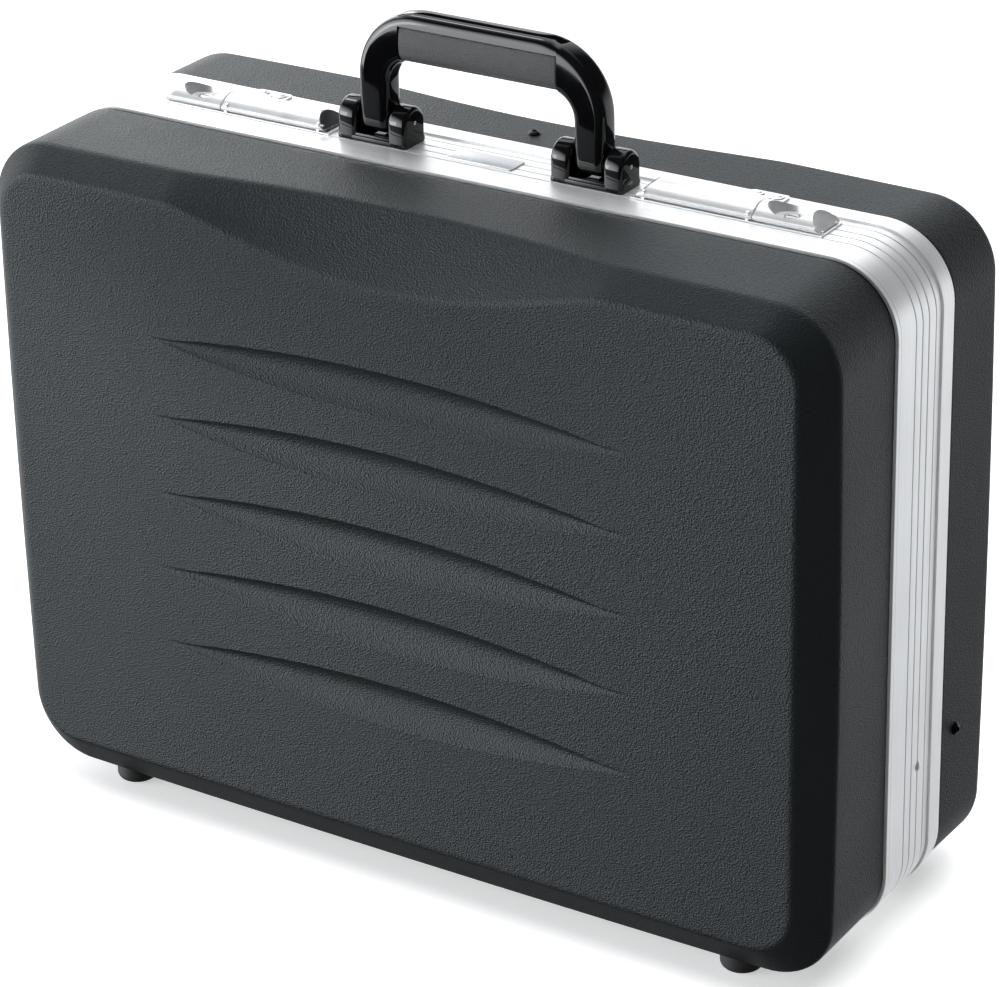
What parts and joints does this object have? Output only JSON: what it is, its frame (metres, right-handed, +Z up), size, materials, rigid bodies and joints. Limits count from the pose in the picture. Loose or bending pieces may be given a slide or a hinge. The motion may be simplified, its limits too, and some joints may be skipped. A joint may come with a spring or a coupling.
{
  "type": "attache case",
  "caption": "Hard attache case: two grained plastic shells in brushed aluminium frames, with key locks, a folding handle, a hinged lid and slotted lid stays.",
  "frame": {"origin": "on the ground under the centre of the case, which stands on its feet", "axes": "+X to the right along the width, +Z up, -Y towards the near side, which carries the handle and the locks"},
  "size_m": [0.4836, 0.186, 0.4305],
  "materials": {
    "shell_plastic": "leather grain, satin",
    "frame_aluminium": "brushed",
    "lock_metal": "satin",
    "gloss_black": "polished",
    "grip_insert": "fine texture",
    "foot_rubber": "matte",
    "black_screws": "semi-gloss",
    "badge": "satin",
    "rivet_metal": "satin",
    "steel": "satin"
  },
  "bodies": {
    "base": {"badge_plate": "badge", "bracket_screws": "steel", "frame_seal": "foot_rubber", "front_feet": "foot_rubber", "front_foot_screws": "steel", "front_frame": "frame_aluminium", "front_shell": "shell_plastic", "front_splice": "steel", "front_splice_rivets": "rivet_metal", "handle_backing_plate": "steel", "handle_bracket_left": "gloss_black", "handle_bracket_right": "gloss_black", "handle_pin_left": "steel", "handle_pin_right": "steel", "hasp_pin_left": "steel", "hasp_pin_right": "steel", "hasp_spring_left": "steel", "hasp_spring_right": "steel", "hinge_leaf_front_left": "steel", "hinge_leaf_front_right": "steel", "hinge_pin_left": "steel", "hinge_pin_right": "steel", "hinge_rivets_front": "rivet_metal", "lock_plate_left": "steel", "lock_plate_right": "steel", "lock_rivets": "rivet_metal", "slider_spring_left": "steel", "slider_spring_right": "steel", "stay_plate_left": "steel", "stay_plate_right": "steel", "stay_rivets": "rivet_metal"},
    "lid": {"hinge_leaf_rear_left": "steel", "hinge_leaf_rear_right": "steel", "hinge_rivets_rear": "rivet_metal", "rear_feet": "foot_rubber", "rear_foot_screws": "steel", "rear_frame": "frame_aluminium", "rear_shell": "shell_plastic", "rear_splice": "steel", "rear_splice_rivets": "rivet_metal", "shell_screws": "black_screws", "stay_pivot_pins": "steel", "stay_pivot_plate_left": "steel", "stay_pivot_plate_right": "steel", "striker_left": "lock_metal", "striker_right": "lock_metal", "striker_rivets": "rivet_metal"},
    "handle": {"handle_bow": "gloss_black", "handle_grip": "grip_insert"},
    "hasp_left": {"hasp_left": "lock_metal"},
    "hasp_right": {"hasp_right": "lock_metal"},
    "slider_left": {"slider_left": "lock_metal"},
    "slider_right": {"slider_right": "lock_metal"},
    "key_left": {"key_cylinder_left": "steel"},
    "key_right": {"key_cylinder_right": "steel"},
    "stay_left": {"stay_arm_left": "steel"},
    "stay_right": {"stay_arm_right": "steel"}
  },
  "joints": [
    {"name": "lid_hinge", "type": "hinge", "parent": "base", "child": "lid", "pos_m": [0, 0.01675, 0.0055], "axis": [-1, 0, 0], "range_deg": [0, 95]},
    {"name": "handle_pivot", "type": "hinge", "parent": "base", "child": "handle", "pos_m": [0, 0.006, 0.3725], "axis": [1, 0, 0], "range_deg": [-85, 85]},
    {"name": "hasp_left_hinge", "type": "hinge", "parent": "base", "child": "hasp_left", "pos_m": [-0.12, -0.0021, 0.3643], "axis": [1, 0, 0], "range_deg": [0, 75]},
    {"name": "slider_left_slide", "type": "slide", "parent": "base", "child": "slider_left", "axis": [-1, 0, 0], "range_m": [0, 0.007]},
    {"name": "key_left_turn", "type": "hinge", "parent": "slider_left", "child": "key_left", "pos_m": [-0.169, 0.006, 0.363], "axis": [0, 0, -1], "range_deg": [0, 90]},
    {"name": "stay_left_swing", "type": "hinge", "parent": "lid", "child": "stay_left", "pos_m": [-0.2296, 0.02875, 0.06122], "axis": [-1, 0, 0], "range_deg": [-47.5, 0]},
    {"name": "hasp_right_hinge", "type": "hinge", "parent": "base", "child": "hasp_right", "pos_m": [0.12, -0.0021, 0.3643], "axis": [1, 0, 0], "range_deg": [0, 75]},
    {"name": "slider_right_slide", "type": "slide", "parent": "base", "child": "slider_right", "axis": [1, 0, 0], "range_m": [0, 0.007]},
    {"name": "key_right_turn", "type": "hinge", "parent": "slider_right", "child": "key_right", "pos_m": [0.169, 0.006, 0.363], "axis": [0, 0, 1], "range_deg": [0, 90]},
    {"name": "stay_right_swing", "type": "hinge", "parent": "lid", "child": "stay_right", "pos_m": [0.2296, 0.02875, 0.06122], "axis": [-1, 0, 0], "range_deg": [-47.5, 0]}
  ],
  "couplings": [
    {"joint": "stay_left_swing", "follows": "lid_hinge", "ratio": -0.5},
    {"joint": "stay_right_swing", "follows": "lid_hinge", "ratio": -0.5}
  ]
}
